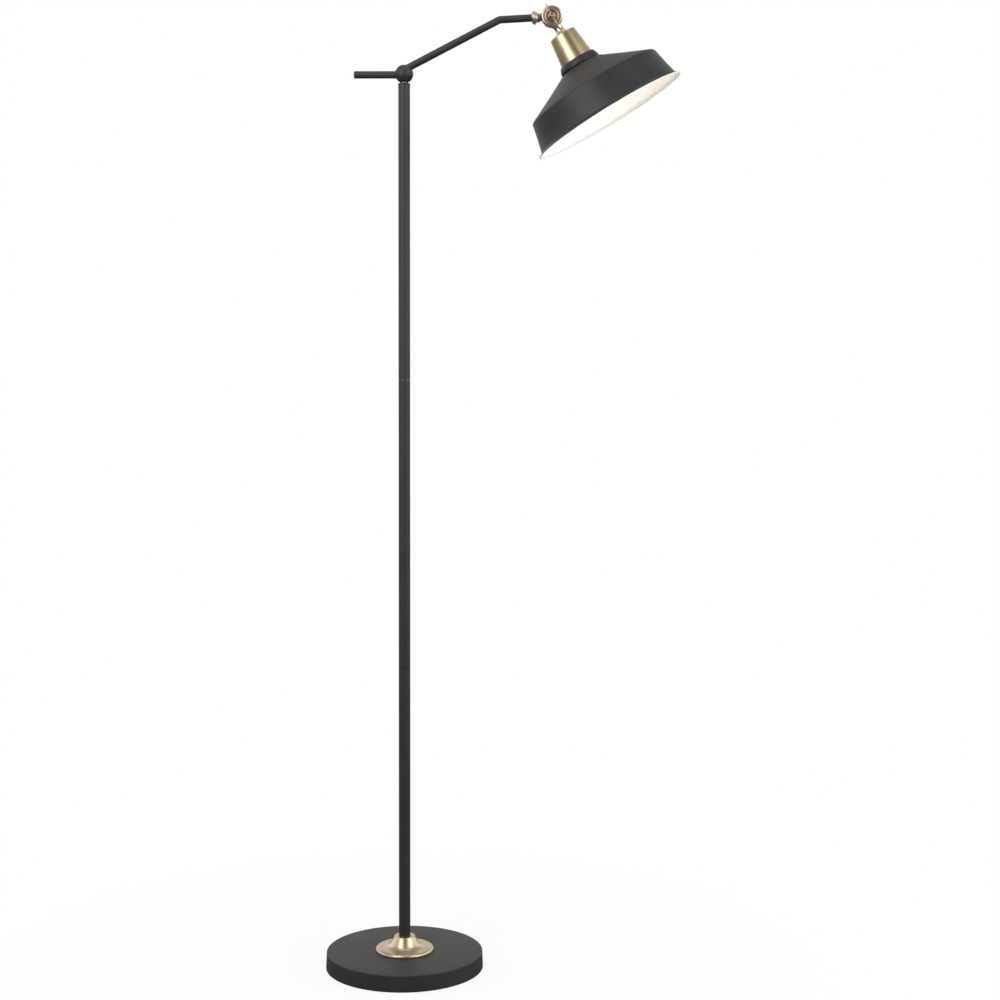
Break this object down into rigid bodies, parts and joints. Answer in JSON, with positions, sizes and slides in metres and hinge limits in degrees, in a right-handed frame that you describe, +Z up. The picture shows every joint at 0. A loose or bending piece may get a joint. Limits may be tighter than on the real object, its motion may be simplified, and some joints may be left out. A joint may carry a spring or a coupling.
{
  "type": "adjustable arm floor lamp",
  "caption": "Floor lamp with a weighted round base, straight pole, swivelling cranked arm, brass wing-nut knuckle and a tilting metal dish shade.",
  "frame": {"origin": "centre of the base pad's underside, on the floor, on the pole's axis", "axes": "+Z up along the pole; +X from the pole towards the arm and the head at rest; the knuckle's screw lies along Y with the wing nut on the -Y side"},
  "size_m": [0.5589, 0.2567, 1.5317],
  "materials": {
    "black_paint": "satin-matt black powder coat",
    "antique_brass": "brushed, lacquered antique brass",
    "plated_steel": "bright zinc plate",
    "cast_iron": "rough casting",
    "black_plastic": "moulded, matt",
    "black_rubber": "matt",
    "opal_glass": "opal white, lit warm",
    "felt": "pressed felt"
  },
  "bodies": {
    "stand": {"base_cover": "black_paint", "base_weight": "cast_iron", "base_plate": "plated_steel", "base_pad": "felt", "plate_screw_1": "plated_steel", "plate_screw_2": "plated_steel", "plate_screw_3": "plated_steel", "base_nipple": "plated_steel", "base_washer": "plated_steel", "base_nut": "plated_steel", "cable_inlet": "black_rubber", "base_collar": "antique_brass", "pole_foot_plug": "plated_steel", "pole_lower": "black_paint", "pole_middle": "black_paint", "pole_upper": "black_paint", "pole_coupler_1": "plated_steel", "pole_coupler_2": "plated_steel", "pole_lead": "black_rubber", "pole_top_cap": "black_paint"},
    "arm": {"swivel_washer": "black_plastic", "swivel_stem": "plated_steel", "swivel_spring_washer": "plated_steel", "swivel_nut": "plated_steel", "ball": "black_paint", "stub_handle": "black_paint", "stub_end_cap": "black_paint", "arm_tube": "black_paint", "arm_lead": "black_rubber", "arm_coupling": "antique_brass", "arm_lock_ring": "black_plastic", "knuckle_arm_lug": "antique_brass", "knuckle_friction_washer": "black_plastic", "knuckle_washer": "plated_steel", "knuckle_screw": "antique_brass"},
    "head": {"knuckle_head_lug": "antique_brass", "socket_cup": "antique_brass", "head_nipple": "plated_steel", "head_nut": "plated_steel", "head_lead": "black_rubber", "neck_collar": "black_paint", "shade": "black_paint", "shade_ring": "black_plastic", "lampholder_body": "black_plastic", "lampholder_shell": "antique_brass", "lampholder_contact": "antique_brass", "bulb_glass": "opal_glass", "bulb_cap": "plated_steel", "bulb_contact": "black_plastic"},
    "wing_nut": {"wing_nut": "antique_brass"}
  },
  "joints": [
    {"name": "arm_swivel", "type": "hinge", "parent": "stand", "child": "arm", "pos_m": [0, 0, 1.4275], "axis": [0, 0, 1], "range_deg": [-170, 170]},
    {"name": "head_tilt", "type": "hinge", "parent": "arm", "child": "head", "pos_m": [0.2306, 0, 1.51524], "axis": [0, -1, 0], "range_deg": [-55, 85]},
    {"name": "wing_nut_turn", "type": "hinge", "parent": "arm", "child": "wing_nut", "pos_m": [0.2306, 0, 1.51524], "axis": [0, -1, 0], "range_deg": [0, 450]}
  ]
}
